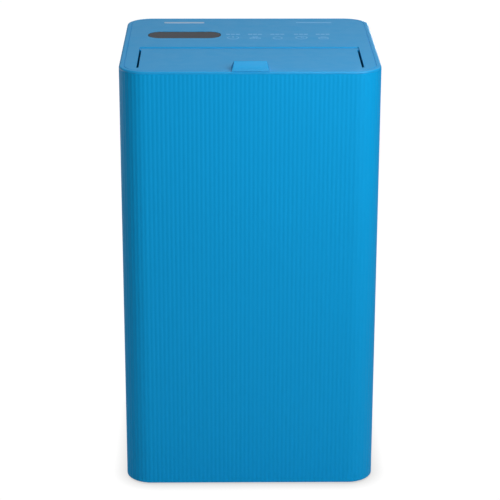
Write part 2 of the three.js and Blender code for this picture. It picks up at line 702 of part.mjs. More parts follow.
const INLET_SLATS = 13;
const inletFrame = cut(
  thicken(roundedRect([-INLET_HALF, INLET_HALF], [INLET_LOW, INLET_HIGH], 3), [INLET_FRONT, BACK - 0.2], 1),
  box([-INLET_HALF + 8, INLET_HALF - 8], [INLET_FRONT - 1, BACK + 1], [INLET_LOW + 8, INLET_HIGH - 8]),
);
const inletPitch = (INLET_HIGH - INLET_LOW - 16) / (INLET_SLATS + 1);
const inletSlats = range(INLET_SLATS).map((index) => {
  const z = INLET_LOW + 8 + inletPitch * (index + 1);
  return tiltedBox([2 * INLET_HALF - 12, 6, 2], -0.45, [0, INLET_FRONT + 3.4, z]);
});
const inletRibs = [-32, 32].map((x) => {
  return box([x - 1.5, x + 1.5], [INLET_FRONT + 0.4, INLET_FRONT + 3.4], [INLET_LOW + 6, INLET_HIGH - 6]);
});
const inletTabs = [-70, 70].map((x) => {
  return box([x - 14, x + 14], [INLET_FRONT + 1.4, INLET_FRONT + 3.8], [INLET_HIGH - 26, INLET_HIGH - 6]);
});
add('inlet_grille', join(inletFrame, ...inletSlats, ...inletRibs, ...inletTabs), BLUE);

const MESH_BARS = 3;
const meshFrame = cut(
  box([-101, 101], FILTER, [INLET_LOW + 3, INLET_HIGH - 3]),
  box([-96, 96], [FILTER[0] - 1, FILTER[1] + 1], [INLET_LOW + 8, INLET_HIGH - 8]),
);
const barDepth = [FILTER[0] + 0.4, FILTER[1] - 0.4];
const meshBars = range(MESH_BARS).flatMap((index) => {
  const share = (index + 1) / (MESH_BARS + 1);
  const x = THREE.MathUtils.lerp(-96, 96, share);
  const z = THREE.MathUtils.lerp(INLET_LOW + 8, INLET_HIGH - 8, share);
  return [
    box([x - 1, x + 1], barDepth, [INLET_LOW + 6, INLET_HIGH - 6]),
    box([-98, 98], barDepth, [z - 1, z + 1]),
  ];
});
add('filter_mesh', join(meshFrame, ...meshBars), BLACK);

// ---------------------------------------------------------------- coils and refrigerant circuit

const FIN_PITCH = 9;
const TUBE_R = 4;
const CONDENSER_Y = [42, 66];
const EVAPORATOR_Y = [78, 104];
const CONDENSER_BENDS = 7;
const EVAPORATOR_BENDS = 8;
const FIRST_ROW = COIL_LOW + 20;
const LAST_ROW = COIL_HIGH - 20;

// Fin pack with grooved faces, end plates and return bends at alternate ends, from the lowest row up.
function coil([front, back], bendCount) {
  const fins = Math.floor(2 * COIL_HALF / FIN_PITCH);
  const crest = (2 * COIL_HALF) / (2 * fins);
  const edge = (y, depth) => range(2 * fins + 1).map((step) => {
    return [-COIL_HALF + crest * step, step % 2 === 0 ? y : y + depth];
  });
  const zigzag = polygon([...edge(front, 2), ...edge(back, -2).reverse()]);
  const pack = raise(zigzag, [COIL_LOW + 2, COIL_HIGH - 2]);
  const plates = [-1, 1].map((hand) => {
    const ends = [hand * (COIL_HALF - 0.5), hand * (COIL_HALF + 1.5)].sort((a, b) => a - b);
    return box(ends, [front - 1, back + 1], [COIL_LOW, COIL_HIGH]);
  });
  const middle = (front + back) / 2;
  const rowPitch = (LAST_ROW - FIRST_ROW) / bendCount;
  const bends = range(bendCount).map((index) => {
    const hand = index % 2 === 0 ? 1 : -1;
    const low = FIRST_ROW + rowPitch * index;
    const high = low + rowPitch;
    const start = hand * COIL_HALF;
    const reach = hand * (COIL_HALF + 12);
    const route = [[start, middle, low], [reach, middle, low], [reach, middle, high], [start, middle, high]];
    return sweep(bent(route, 8, 1), TUBE_R, 6);
  });
  return join(pack, ...plates, ...bends);
}

add('condenser', coil(CONDENSER_Y, CONDENSER_BENDS), FINS);
add('evaporator', coil(EVAPORATOR_Y, EVAPORATOR_BENDS), FINS);

const COMPRESSOR_TOP = 158;

// Solid of revolution about z from a profile of radius and height.
function turned(profile) {
  const points = profile.map(([radius, z]) => new THREE.Vector2(radius, z));
  return solid(new THREE.LatheGeometry(points, 20).rotateX(Math.PI / 2));
}

// Rotary compressor: welded can with domed ends, terminal cover and a three-armed foot plate.
function compressorCan() {
  const can = turned([
    [0, 24], [34, 26], [46, 32], [COMPRESSOR_R, 40],
    [COMPRESSOR_R, 138], [46, 148], [30, 156], [0, COMPRESSOR_TOP],
  ]);
  const arms = COMPRESSOR_FEET.map(([x, y]) => {
    const angle = Math.atan2(y - COMPRESSOR.y, x - COMPRESSOR.x);
    const arm = new THREE.BoxGeometry(COMPRESSOR_FOOT_R + 8, 20, 3);
    arm.translate((COMPRESSOR_FOOT_R + 8) / 2, 0, 24);
    arm.rotateZ(angle);
    return solid(arm);
  });
  const holes = COMPRESSOR_FEET.map(([x, y]) => {
    return post(2.6 + GAP, [x - COMPRESSOR.x, y - COMPRESSOR.y], [20, 30], 12);
  });
  const terminals = post(15, [-14, 18], [140, 166], 16);
  return cut(join(can, ...arms, terminals), ...holes);
}

const compressor = add('compressor', compressorCan(), BLACK_PAINT);
compressor.position.copy(COMPRESSOR);
COMPRESSOR_FEET.forEach(([x, y], index) => {
  const ring = cut(post(9, [0, 0], [BASE_Z + BASE + GAP, 22.2], 16), post(2.6 + GAP, [0, 0], [0, 30], 12));
  const grommet = add(`compressor_grommet_${index + 1}`, ring, RUBBER);
  grommet.position.set(x, y, 0);
});

const ACCUMULATOR = [12, -94];
const ACCUMULATOR_TOP = 152;
const inletElbow = pipe([[...ACCUMULATOR, 54], [...ACCUMULATOR, 40], [-20.4, -77.4, 40]], 4, 8);
const accumulatorCan = join(
  post(16, ACCUMULATOR, [50, 146], 20),
  post(9, ACCUMULATOR, [145, ACCUMULATOR_TOP], 16),
);
add('accumulator', join(accumulatorCan, inletElbow), BLACK_PAINT);

const CONDENSER_MID = (CONDENSER_Y[0] + CONDENSER_Y[1]) / 2;
const EVAPORATOR_MID = (EVAPORATOR_Y[0] + EVAPORATOR_Y[1]) / 2;
const COIL_OUT = COIL_HALF + 1.5 + GAP;
const DRIER = { x: -117, y: 22, low: 254, high: 318 };
const CAPILLARY_R = 1.3;
const CAPILLARY_TURNS = 2;
const CAPILLARY_LOOP_R = 8;

add('discharge_pipe', pipe([
  [COMPRESSOR.x, COMPRESSOR.y, COMPRESSOR_TOP + GAP],
  [COMPRESSOR.x, COMPRESSOR.y, 174],
  [DISCHARGE_X, RISER_Y, 174],
  [DISCHARGE_X, RISER_Y, LAST_ROW - 40],
  [DISCHARGE_X, CONDENSER_MID, LAST_ROW],
  [-COIL_OUT, CONDENSER_MID, LAST_ROW],
], PIPE_R, 9), COPPER);
add('suction_pipe', pipe([
  [...ACCUMULATOR, ACCUMULATOR_TOP + GAP],
  [...ACCUMULATOR, 172],
  [RIGHT_PIPE_X, RISER_Y, 172],
  [RIGHT_PIPE_X, RISER_Y, LAST_ROW - 60],
  [RIGHT_PIPE_X, EVAPORATOR_MID, LAST_ROW],
  [COIL_OUT, EVAPORATOR_MID, LAST_ROW],
], PIPE_R, 9), COPPER);
add('liquid_pipe', pipe([
  [-COIL_OUT, CONDENSER_MID, FIRST_ROW],
  [DRIER.x, CONDENSER_MID, FIRST_ROW],
  [DRIER.x, DRIER.y, FIRST_ROW + 6],
  [DRIER.x, DRIER.y, DRIER.low - GAP],
], 3, 7), COPPER);

const drierShape = turned([
  [0, DRIER.low], [3.5, DRIER.low], [9, DRIER.low + 10],
  [9, DRIER.high - 10], [2.5, DRIER.high], [0, DRIER.high],
]);
const drier = add('filter_drier', drierShape, COPPER);
drier.position.set(DRIER.x, DRIER.y, 0);

// Thin tube: up from the drier, a few loops, then back and down to the evaporator's lowest row.
function capillaryRoute() {
  const start = new THREE.Vector3(DRIER.x, DRIER.y, DRIER.high + GAP);
  const steps = 10 * CAPILLARY_TURNS;
  const loops = range(steps + 1).map((step) => {
    const angle = Math.PI * 2 * step / 10;
    return new THREE.Vector3(
      DRIER.x + CAPILLARY_LOOP_R * (Math.cos(angle) - 1) + CAPILLARY_LOOP_R,
      DRIER.y + CAPILLARY_LOOP_R * Math.sin(angle),
      DRIER.high + 14 + step / 2,
    );
  });
  const back = bent([
    [DRIER.x + CAPILLARY_LOOP_R, DRIER.y + 10, DRIER.high + 32],
    [DRIER.x - 6, EVAPORATOR_MID, DRIER.high + 10],
    [DRIER.x - 6, EVAPORATOR_MID, FIRST_ROW],
    [-COIL_OUT, EVAPORATOR_MID, FIRST_ROW],
  ], 6);
  return [start, start.clone().setZ(DRIER.high + 8), ...loops, ...back];
}
add('capillary_tube', sweep(capillaryRoute(), CAPILLARY_R, 6), COPPER);

// ---------------------------------------------------------------- fan, motor and scroll

const BLADES = 18;
const BLADE_IN = 68;
const WHEEL_FRONT = -95;
const WHEEL_BACK = -43;
const MOTOR_FRONT = -87;
const MOTOR_BACK = -34;
const fanAxis = [0, 0];

const fan = new THREE.Group();
fan.position.z = FAN_Z;
dehumidifier.add(fan);

function fanWheel() {
  const disc = rod(FAN_R, fanAxis, [WHEEL_FRONT, WHEEL_FRONT + 2], 30);
  const hub = rod(FAN_HUB_R, fanAxis, [WHEEL_FRONT, MOTOR_FRONT - 1.5], 20);
  const ring = cut(
    rod(FAN_R, fanAxis, [WHEEL_BACK - 3, WHEEL_BACK], 30),
    rod(BLADE_IN, fanAxis, [WHEEL_BACK - 4, WHEEL_BACK + 1], 30),
  );
  const blades = range(BLADES).map((index) => {
    const blade = new THREE.BoxGeometry(FAN_R - BLADE_IN - 1, WHEEL_BACK - WHEEL_FRONT - 2, 1.6);
    blade.rotateY(0.5);
    blade.translate((FAN_R + BLADE_IN) / 2, (WHEEL_BACK + WHEEL_FRONT) / 2, 0);
    blade.rotateY(Math.PI * 2 * index / BLADES);
    return solid(blade);
  });
  const bore = rod(SHAFT_R + GAP, fanAxis, [WHEEL_FRONT - 1, MOTOR_FRONT], 16);
  return cut(join(disc, hub, ring, ...blades), bore);
}
add('fan_wheel', fanWheel(), BLACK, fan);
add('motor_shaft', rod(SHAFT_R, fanAxis, [WHEEL_FRONT - 1.5, MOTOR_FRONT + 12], 16), STEEL, fan);

const motorBody = join(
  rod(MOTOR_R - 3, fanAxis, [MOTOR_FRONT, MOTOR_BACK], 24),
  rod(MOTOR_R, fanAxis, [MOTOR_FRONT + 8, MOTOR_BACK - 8], 24),
);
const motorBore = rod(SHAFT_R + GAP, fanAxis, [MOTOR_FRONT - 1, MOTOR_FRONT + 12.5], 16);
add('fan_motor', cut(motorBody, motorBore), ZINC, fan);

// Three-armed bracket that carries the motor on the scroll cover.
function motorBracket() {
  const plate = rod(30, fanAxis, [MOTOR_BACK + GAP, MOTOR_BACK + 3], 24);
  const arms = range(3).map((index) => {
    const arm = new THREE.BoxGeometry(92, 2.7, 14);
    arm.translate(46, MOTOR_BACK + 1.65, 0);
    const foot = new THREE.BoxGeometry(12, 5, 14);
    foot.translate(86, SCROLL_BACK + 4.9, 0);
    const turn = Math.PI / 2 + Math.PI * 2 * index / 3;
    return join(solid(arm.rotateY(turn)), solid(foot.rotateY(turn)));
  });
  return join(plate, ...arms);
}
add('motor_bracket', motorBracket(), ZINC, fan);

// Scroll wall: radius grows from the tongue round to the side, then runs straight up to the outlet.
function scrollShape(inset) {
  const tongue = THREE.MathUtils.degToRad(75);
  const turns = range(19).map((step) => {
    const share = step / 18;
    const angle = tongue + share * (Math.PI * 2 - tongue);
    const radius = THREE.MathUtils.lerp(FAN_R + 8, SCROLL_SIDE, share) - inset;
    return [radius * Math.cos(angle), radius * Math.sin(angle)];
  });
  const height = SCROLL_TOP - FAN_Z + (inset > 0 ? 1 : 0);
  return polygon([...turns, [SCROLL_SIDE - inset, height], [turns[0][0] + inset, height]]);
}
const scrollFeet = [-50, 50].map((x) => {
  return box([x - 8, x + 8], [SCROLL_FRONT + 2, SCROLL_BACK - 2], [DECK_Z + DECK + GAP - FAN_Z, -80]);
});
const scroll = cut(
  join(thicken(scrollShape(0), [SCROLL_FRONT, SCROLL_BACK - GAP]), ...scrollFeet),
  thicken(scrollShape(2), [SCROLL_FRONT + 2, SCROLL_BACK + 1]),
);
add('scroll_housing', scroll, GREY, fan);

const BELLMOUTH_R = 72;
const coverPlane = thicken(scrollShape(0), [SCROLL_BACK, SCROLL_BACK + 2]);
const bellmouth = rod(BELLMOUTH_R + 4, fanAxis, [SCROLL_BACK - 4, SCROLL_BACK + 1], 30);
const inletHole = rod(BELLMOUTH_R, fanAxis, [SCROLL_BACK - 5, SCROLL_BACK + 3], 30);
add('scroll_cover', cut(join(coverPlane, bellmouth), inletHole), GREY, fan);

// ---------------------------------------------------------------- outlet duct

// Hollow frustum between two rectangles, widening upwards.
function funnel(low, high, z0, z1) {
  const ring = ({ x, y }, z) => [[x[0], y[0], z], [x[1], y[0], z], [x[1], y[1], z], [x[0], y[1], z]];
  const points = [...ring(low, z0), ...ring(high, z1)];
  const faces = [[0, 2, 1], [0, 3, 2], [4, 5, 6], [4, 6, 7]];
  range(4).forEach((side) => {
    const next = (side + 1) % 4;
    faces.push([side, next, next + 4], [side, next + 4, side + 4]);
  });
  const geometry = new THREE.BufferGeometry();
  geometry.setAttribute('position', new THREE.Float32BufferAttribute(points.flat(), 3));
  geometry.setIndex(faces.flat());
  return solid(geometry);
}

const DUCT_LOW = { x: [22, SCROLL_SIDE], y: [SCROLL_FRONT, SCROLL_BACK + 2] };
const DUCT_RISE = [SCROLL_TOP + GAP, GRILLE_LOW - GAP];
const duct = cut(
  funnel(DUCT_LOW, GRILLE, ...DUCT_RISE),
  funnel(shrunk(DUCT_LOW, 2), shrunk(GRILLE, 2), DUCT_RISE[0] - 0.01, DUCT_RISE[1] + 0.01),
);
add('outlet_duct', duct, GREY);

// ---------------------------------------------------------------- electronics

const EBOX = { x: [38, 132], y: [-110, 4], z: [BASE_Z + BASE + GAP, 132] };
const electronicsBox = cut(
  box(EBOX.x, EBOX.y, EBOX.z),
  box([EBOX.x[0] + 2, EBOX.x[1] - 2], [EBOX.y[0] + 2, EBOX.y[1] - 2], [EBOX.z[0] + 2, EBOX.z[1] + 1]),
);
add('electronics_box', electronicsBox, BLACK);

const powerParts = [
  box([76, 96], [-90, -60], [30, 60]),
  box([76, 88], [-50, -30], [40, 70]),
  box([76, 84], [-90, -70], [80, 100]),
  box([76, 92], [-40, -20], [90, 112]),
];
add('power_board', join(box([74, 76.4], [-100, -6], [EBOX.z[0] + 2.3, 122]), ...powerParts), BOARD);
add('run_capacitor', join(
  post(16, [56, -84], [EBOX.z[0] + 2.3, 74], 24),
  box([50, 53], [-86, -82], [73, 80]),
  box([59, 62], [-86, -82], [73, 80]),
), WHITE);
add('humidity_sensor', box([108, 117], [BACK - 9.1, BACK - WALL - GAP], [300, 330]), WHITE);

export default dehumidifier;
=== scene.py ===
"""Looks of the dehumidifier: fine ribbed shell, top cover with flap and printed panel, grilles, coils."""
import json
import math

import bmesh
import bpy
from mathutils import Matrix, Vector

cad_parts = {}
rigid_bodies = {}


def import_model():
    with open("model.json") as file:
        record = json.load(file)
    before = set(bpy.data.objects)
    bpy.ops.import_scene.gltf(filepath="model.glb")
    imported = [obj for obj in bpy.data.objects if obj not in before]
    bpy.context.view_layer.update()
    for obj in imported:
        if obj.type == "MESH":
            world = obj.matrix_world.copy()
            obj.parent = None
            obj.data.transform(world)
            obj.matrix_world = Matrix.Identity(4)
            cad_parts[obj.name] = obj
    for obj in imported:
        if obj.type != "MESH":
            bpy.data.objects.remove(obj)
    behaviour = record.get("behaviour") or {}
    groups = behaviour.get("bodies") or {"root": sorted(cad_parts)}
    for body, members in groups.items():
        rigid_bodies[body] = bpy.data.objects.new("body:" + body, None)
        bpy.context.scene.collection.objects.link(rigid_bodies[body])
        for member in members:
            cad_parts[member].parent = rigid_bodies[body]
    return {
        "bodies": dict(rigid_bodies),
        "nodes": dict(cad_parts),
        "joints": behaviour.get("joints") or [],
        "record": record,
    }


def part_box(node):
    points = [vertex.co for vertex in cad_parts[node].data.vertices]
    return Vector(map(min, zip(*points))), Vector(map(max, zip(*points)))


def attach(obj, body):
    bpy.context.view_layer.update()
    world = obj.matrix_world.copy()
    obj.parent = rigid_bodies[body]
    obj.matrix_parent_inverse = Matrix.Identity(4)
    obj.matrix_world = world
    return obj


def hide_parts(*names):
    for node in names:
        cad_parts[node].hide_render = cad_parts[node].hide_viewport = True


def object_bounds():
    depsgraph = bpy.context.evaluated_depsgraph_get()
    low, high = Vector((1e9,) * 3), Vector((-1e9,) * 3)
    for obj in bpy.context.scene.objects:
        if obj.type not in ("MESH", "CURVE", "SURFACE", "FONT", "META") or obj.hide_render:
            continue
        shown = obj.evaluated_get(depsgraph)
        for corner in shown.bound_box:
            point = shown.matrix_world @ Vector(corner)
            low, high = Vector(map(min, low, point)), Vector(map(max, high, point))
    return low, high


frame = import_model()
cad_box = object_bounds()
nodes = frame["nodes"]

MM = 0.001


# ---------------------------------------------------------------- measures from the frame

def span(node):
    """Limits of a CAD node along x, y and z."""
    low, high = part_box(node)
    return [(low[axis], high[axis]) for axis in range(3)]


def middle(node):
    low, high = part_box(node)
    return (low + high) / 2


SIDE = cad_box[1].x
FRONT = cad_box[0].y
BACK = cad_box[1].y
SHELL_LOW, SEAM = span("front_shell")[2]
SPLIT = span("front_shell")[1][1]
TOP = span("top_cover")[2][1]
CORNER = 31 * MM
WALL = 3.2 * MM
GAP = 0.3 * MM
EASE = 0.4 * MM

HINGE = Vector(next(j["pos_m"] for j in frame["joints"] if j["name"] == "flap_hinge"))
HINGE_R = 3 * MM
FLAP_TOP = HINGE.z + HINGE_R
KNUCKLE_HALF = span("outlet_flap")[0][1]
OPENING_HALF = KNUCKLE_HALF + EASE
FLAP_HALF = KNUCKLE_HALF - 2 * MM
FLAP_FRONT = FRONT + 20 * MM
FLAP_THICK = 3 * MM
FLAP_LOW = FLAP_TOP - FLAP_THICK


# ---------------------------------------------------------------- materials

def linear(red, green, blue):
    """Scene-linear colour from 0-255 display values."""
    def channel(value):
        value /= 255
        return value / 12.92 if value <= 0.04045 else ((value + 0.055) / 1.055) ** 2.4
    return (channel(red), channel(green), channel(blue), 1.0)


def shade(colour, factor):
    return tuple(min(1.0, part * factor) for part in colour[:3]) + (1.0,)


class Finish:
    """A node-based material that starts from one Principled shader in object space."""

    def __init__(self, name, roughness=0.5, metallic=0.0, **sockets):
        self.material = bpy.data.materials.new(name)
        self.material.use_nodes = True
        self.tree = self.material.node_tree
        self.shader = self.tree.nodes["Principled BSDF"]
        self.shader.inputs["Roughness"].default_value = roughness
        self.shader.inputs["Metallic"].default_value = metallic
        for socket, value in sockets.items():
            self.shader.inputs[socket.replace("_", " ")].default_value = value
        self.place = self.tree.nodes.new("ShaderNodeTexCoord").outputs["Object"]

    def stretched(self, scale):
        """Object coordinates scaled by three factors."""
        mapping = self.tree.nodes.new("ShaderNodeMapping")
        mapping.inputs["Scale"].default_value = scale
        self.tree.links.new(self.place, mapping.inputs["Vector"])
        return mapping.outputs["Vector"]

    def noise(self, scale, detail=2.0, vector=None):
        texture = self.tree.nodes.new("ShaderNodeTexNoise")
        texture.inputs["Scale"].default_value = scale
        texture.inputs["Detail"].default_value = detail
        self.tree.links.new(vector or self.place, texture.inputs["Vector"])
        return texture.outputs["Fac"]

    def colour(self, dark, light, factor):
        """Base colour that varies between two colours."""
        mix = self.tree.nodes.new("ShaderNodeMix")
        mix.data_type = "RGBA"
        mix.inputs[6].default_value = dark
        mix.inputs[7].default_value = light
        self.tree.links.new(factor, mix.inputs[0])
        self.tree.links.new(mix.outputs[2], self.shader.inputs["Base Color"])

    def roughness(self, low, high, factor):
        """Roughness that varies between two values."""
        spread = self.tree.nodes.new("ShaderNodeMapRange")
        spread.inputs["To Min"].default_value = low
        spread.inputs["To Max"].default_value = high
        self.tree.links.new(factor, spread.inputs["Value"])
        self.tree.links.new(spread.outputs["Result"], self.shader.inputs["Roughness"])

    def bump(self, height, depth):
        """Fine surface relief."""
        relief = self.tree.nodes.new("ShaderNodeBump")
        relief.inputs["Distance"].default_value = depth
        self.tree.links.new(height, relief.inputs["Height"])
        self.tree.links.new(relief.outputs["Normal"], self.shader.inputs["Normal"])


def moulded(name, colour, roughness=0.5, grain=0.05 * MM, grain_scale=1400, mottle=0.05, rub=0.07,
            **sockets):
    """Moulded plastic: fine spark-eroded grain, faint flow marks in colour, gloss uneven from rubbing."""
    finish = Finish(name, roughness, **sockets)
    flow = finish.noise(9, 3)
    cloud = finish.noise(60, 2)
    finish.colour(shade(colour, 1 - mottle), shade(colour, 1 + mottle), flow)
    finish.roughness(roughness - rub, roughness + rub, cloud)
    finish.bump(finish.noise(grain_scale, 1), grain)
    return finish.material


def metal(name, colour, roughness, scale=(40, 40, 1400), tarnish=0.12):
    """Bare or plated metal with a drawn grain and uneven tarnish."""
    finish = Finish(name, roughness, metallic=1.0)
    blotch = finish.noise(35, 4)
    finish.colour(shade(colour, 1 - tarnish), shade(colour, 1 + tarnish / 2), blotch)
    finish.roughness(roughness - 0.08, roughness + 0.12, finish.noise(80, 3))
    finish.bump(finish.noise(1.0, 2, finish.stretched(scale)), 0.02 * MM)
    return finish.material


def circuit_board(name):
    """Green solder mask with a faint pattern of tracks beneath it."""
    finish = Finish(name, 0.35)
    tracks = finish.tree.nodes.new("ShaderNodeTexBrick")
    tracks.inputs["Scale"].default_value = 90
    tracks.inputs["Mortar Size"].default_value = 0.03
    finish.tree.links.new(finish.place, tracks.inputs["Vector"])
    finish.colour(linear(20, 92, 48), linear(48, 134, 78), tracks.outputs["Fac"])
    finish.bump(tracks.outputs["Fac"], 0.05 * MM)
    return finish.material


SHELL_BLUE = (0.0005, 0.40, 0.85, 1)
# The cover's blue is the shell's plastic blue made about 5 % darker. The blue is the plastic's own colour,
# and the darkening is painted shade that dims the top faces.
COVER_BLUE_WITH_PAINTED_SHADE = (0.0005, 0.375, 0.8, 1)

BLUE = moulded(
    "ribbed_blue_plastic", SHELL_BLUE, 0.55, grain=0.03 * MM, mottle=0.02, Specular_IOR_Level=0.15)
# Cover plastic: its darker blue holds painted shade for the top faces.
BLUE_COVER_WITH_PAINTED_SHADE = moulded("cover_blue_plastic_painted_shade", COVER_BLUE_WITH_PAINTED_SHADE, 0.42, grain=0.03 * MM, mottle=0.02)
BLACK = moulded("black_plastic", linear(36, 38, 41), 0.5)
GREY = moulded("grey_plastic", linear(176, 181, 186), 0.55)
WHITE = moulded("white_plastic", linear(228, 230, 230), 0.5)
FOAM = moulded("white_foam", linear(236, 236, 232), 0.85, grain=0.4 * MM, grain_scale=700)
PAD = moulded("conductive_foam", linear(30, 30, 33), 0.9, grain=0.4 * MM, grain_scale=900)
RUBBER = moulded("black_rubber", linear(26, 26, 27), 0.8, grain=0.06 * MM, grain_scale=2200)
SMOKED = moulded(
    "smoked_window", linear(26, 36, 50), 0.26, grain=0.0, mottle=0.03, rub=0.02, Specular_IOR_Level=0.1)
TANK = moulded(
    "tank_plastic", linear(226, 235, 241), 0.3, grain=0.02 * MM, Transmission_Weight=0.35, IOR=1.45)
PAINT = moulded("black_paint", linear(30, 32, 34), 0.32, grain=0.08 * MM, grain_scale=420)
INK_PALE = moulded("pale_ink", (0.2, 0.55, 0.92, 1), 0.5, grain=0.0, mottle=0.03)
BADGE = moulded("pale_badge", (0.38, 0.6, 0.85, 1), 0.35, grain=0.0, mottle=0.04)
ZINC = metal("zinc_plate", linear(196, 198, 198), 0.36)
STEEL = metal("ground_steel", linear(170, 174, 178), 0.28)
COPPER = metal("copper_tube", linear(196, 112, 70), 0.28, tarnish=0.2)
FINS = metal("fin_aluminium", linear(205, 209, 212), 0.34, scale=(900, 60, 60), tarnish=0.06)
BOARD = circuit_board("circuit_board")

FINISHES = {
    "ribbed_blue": BLUE, "cover_blue": BLUE_COVER_WITH_PAINTED_SHADE, "display": SMOKED, "badge": BADGE, "zinc": ZINC,
    "steel": STEEL, "black_plastic": BLACK, "grey_plastic": GREY, "white_plastic": WHITE,
    "foam_white": FOAM, "foam_pad": PAD, "tank_plastic": TANK, "circuit_board": BOARD, "rubber": RUBBER,
    "fins": FINS, "black_paint": PAINT, "copper": COPPER,
}


# ---------------------------------------------------------------- mesh helpers

def face_outwards(form):
    form.normal_update()
    bmesh.ops.recalc_face_normals(form, faces=form.faces)


def smooth(mesh, degrees):
    """Smooth shading, with edges sharper than an angle left crisp."""
    form = bmesh.new()
    form.from_mesh(mesh)
    for face in form.faces:
        face.smooth = True
    for edge in form.edges:
        edge.smooth = len(edge.link_faces) == 2 and edge.calc_face_angle() < math.radians(degrees)
    form.to_mesh(mesh)
    form.free()


def helper(form):
    """A loose object made of a bmesh, either to be cut or to cut with."""
    face_outwards(form)
    mesh = bpy.data.meshes.new("helper")
    form.to_mesh(mesh)
    form.free()
    thing = bpy.data.objects.new("helper", mesh)
    bpy.context.scene.collection.objects.link(thing)
    return thing


def settle(thing, name, material, body, replaced=(), degrees=32):
    """Names a loose object and makes it a piece that rides on a body and may stand for CAD nodes."""
    smooth(thing.data, degrees)
    modifier = thing.modifiers.new("normals", "WEIGHTED_NORMAL")
    modifier.keep_sharp = True
    baked(thing)
    thing.name = name
    thing.data.name = name
    thing.data.materials.clear()
    thing.data.materials.append(material)
    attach(thing, body)
    if replaced:
        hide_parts(*replaced)


def baked(thing):
    """Applies the object's modifiers to its mesh."""
    depsgraph = bpy.context.evaluated_depsgraph_get()
    mesh = bpy.data.meshes.new_from_object(thing.evaluated_get(depsgraph))
    thing.modifiers.clear()
    thing.data = mesh
    return thing


def combine(thing, form, operation):
    """Boolean operation on a loose object."""
    tool = helper(form)
    modifier = thing.modifiers.new("combine", "BOOLEAN")
    modifier.operation = operation
    modifier.solver = "EXACT"
    modifier.object = tool
    baked(thing)
    bpy.data.objects.remove(tool)


def cut(thing, *forms):
    for form in forms:
        combine(thing, form, "DIFFERENCE")
    return thing


def join(thing, form):
    combine(thing, form, "UNION")


def eased(thing, width, segments=2, degrees=40):
    """Rounds the edges of an object that are sharper than an angle."""
    form = bmesh.new()
    form.from_mesh(thing.data)
    bmesh.ops.remove_doubles(form, verts=form.verts, dist=1e-6)
    bmesh.ops.dissolve_limit(
        form, angle_limit=math.radians(1), verts=form.verts, edges=form.edges, delimit={"NORMAL"})
    form.to_mesh(thing.data)
    form.free()
    modifier = thing.modifiers.new("edges", "BEVEL")
    modifier.width = width
    modifier.segments = segments
    modifier.limit_method = "ANGLE"
    modifier.angle_limit = math.radians(degrees)
    return baked(thing)


def loft(form, rings, closed=False):
    """Skins rings of equal length, capping both ends unless the loft closes on itself."""
    loops = [[form.verts.new(point) for point in ring] for ring in rings]
    count = len(loops[0])
    pairs = list(zip(loops, loops[1:]))
    if closed:
        pairs.append((loops[-1], loops[0]))
    for lower, upper in pairs:
        for i in range(count):
            j = (i + 1) % count
            form.faces.new((lower[i], lower[j], upper[j], upper[i]))
    if not closed:
        form.faces.new(loops[0])
        form.faces.new(loops[-1])
    return form


def lofted(rings, closed=False):
    return loft(bmesh.new(), rings, closed)


def plane_ring(outline, axis, along):
    """A flat outline's points in space, at a place along the x or z axis that it lies across."""
    if axis == "x":
        return [(along, first, second) for first, second in outline]
    return [(first, second, along) for first, second in outline]


def slab(outline, low, high, axis="z"):
    """Straight solid with the given outline across an axis."""
    return lofted([plane_ring(outline, axis, low), plane_ring(outline, axis, high)])


def block(x, y, z):
    return slab([(x[0], y[0]), (x[1], y[0]), (x[1], y[1]), (x[0], y[1])], *z)


def plate(x, y, radius, low, high, ease):
    """Rounded rectangle whose top edge is rounded over."""
    profile = [(0, low)]
    for step in range(5):
        angle = step * math.pi / 8
        profile.append((ease * (1 - math.cos(angle)), high - ease * (1 - math.sin(angle))))
    rings = []
    for inset, z in profile:
        outline = rounded((x[0] + inset, x[1] - inset), (y[0] + inset, y[1] - inset), radius - inset)
        rings.append(plane_ring(outline, "z", z))
    return lofted(rings)


def rounded(x, y, radius, steps=8):
    """Points round a rectangle with rounded corners, anticlockwise from its right side."""
    points = []
    centres = [(x[1] - radius, y[1] - radius), (x[0] + radius, y[1] - radius),
               (x[0] + radius, y[0] + radius), (x[1] - radius, y[0] + radius)]
    for quarter, (centre_x, centre_y) in enumerate(centres):
        for step in range(steps + 1):
            angle = (quarter + step / steps) * math.pi / 2
            points.append((centre_x + radius * math.cos(angle), centre_y + radius * math.sin(angle)))
    return points


def casing(inset, steps=12):
    """The casing's plan outline, moved inwards."""
    return rounded((-SIDE + inset, SIDE - inset), (FRONT + inset, BACK - inset), CORNER - inset, steps)


def mirrored(low, high):
    """The same stretch of x on both sides."""
    return [(-high, -low), (low, high)]


def body_of(node):
    return next(name for name, part in frame["bodies"].items() if nodes[node].parent == part)


def slot_of(node):
    return next(row["material_slot"] for row in frame["record"]["subparts"] if row["node"] == node)


def copied(node):
    """A loose copy of a CAD node."""
    form = bmesh.new()
    form.from_mesh(nodes[node].data)
    bmesh.ops.remove_doubles(form, verts=form.verts, dist=1e-6)
    return helper(form)


def piece(thing, node, name=None, slot=None, degrees=32):
    """Makes a loose object the visible piece for a CAD node."""
    slot = slot or slot_of(node)
    settle(thing, name or f"{node}_detail", FINISHES[slot], body_of(node), (node,), degrees)


def softened(node, width=EASE):
    """Stands a copy with rounded edges in for a CAD node."""
    piece(eased(copied(node), width), node)


def subdivided(node):
    """Stands a copy in for a swept CAD node, subdivided until its sections are round."""
    thing = copied(node)
    form = bmesh.new()
    form.from_mesh(thing.data)
    bmesh.ops.dissolve_limit(
        form, angle_limit=math.radians(2), verts=form.verts, edges=form.edges, delimit={"NORMAL"})
    form.to_mesh(thing.data)
    form.free()
    thing.modifiers.new("round", "SUBSURF").levels = 2
    piece(baked(thing), node, degrees=60)


# ---------------------------------------------------------------- ribbed front shell

